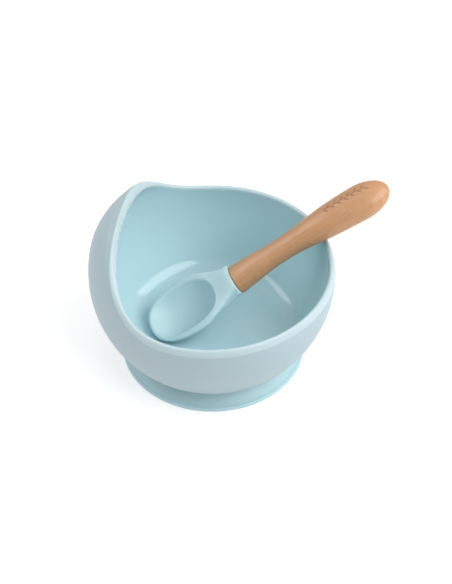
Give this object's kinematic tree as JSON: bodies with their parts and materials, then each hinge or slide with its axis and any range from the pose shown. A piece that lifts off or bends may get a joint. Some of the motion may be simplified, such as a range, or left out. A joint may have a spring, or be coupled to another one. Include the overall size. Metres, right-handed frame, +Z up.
{
  "type": "suction bowl",
  "caption": "Round silicone feeding bowl with a high scoop lip on a suction foot, with a silicone and beech spoon leaning in it.",
  "frame": {"origin": "centre of the suction foot's sealing ring, on the table plane", "axes": "+Z up along the bowl's axis; -X towards the top of the scoop lip; +Y to the left of someone who looks along +X"},
  "size_m": [0.1415, 0.12, 0.082],
  "materials": {
    "silicone_bowl": "satin pale blue silicone",
    "silicone_foot": "satin pale blue silicone, slightly translucent",
    "silicone_spoon": "satin pale blue silicone",
    "nylon_core": "natural nylon",
    "beech": "oiled beech, fine grain"
  },
  "bodies": {
    "foot": {"suction_base": "silicone_foot"},
    "bowl": {"bowl_shell": "silicone_bowl"},
    "spoon": {"spoon_head": "silicone_spoon", "spoon_core": "nylon_core", "spoon_handle": "beech"}
  },
  "joints": [
    {"name": "foot_press", "type": "slide", "parent": "foot", "child": "bowl", "axis": [0, 0, -1], "range_m": [0, 0.0025], "stiffness_N_per_m": 6000, "springref_m": -0.0005, "deforming": ["suction_base"]},
    {"name": "spoon_lift", "type": "slide", "parent": "bowl", "child": "spoon", "axis": [0, 0, 1], "range_m": [0, 0.08]}
  ]
}
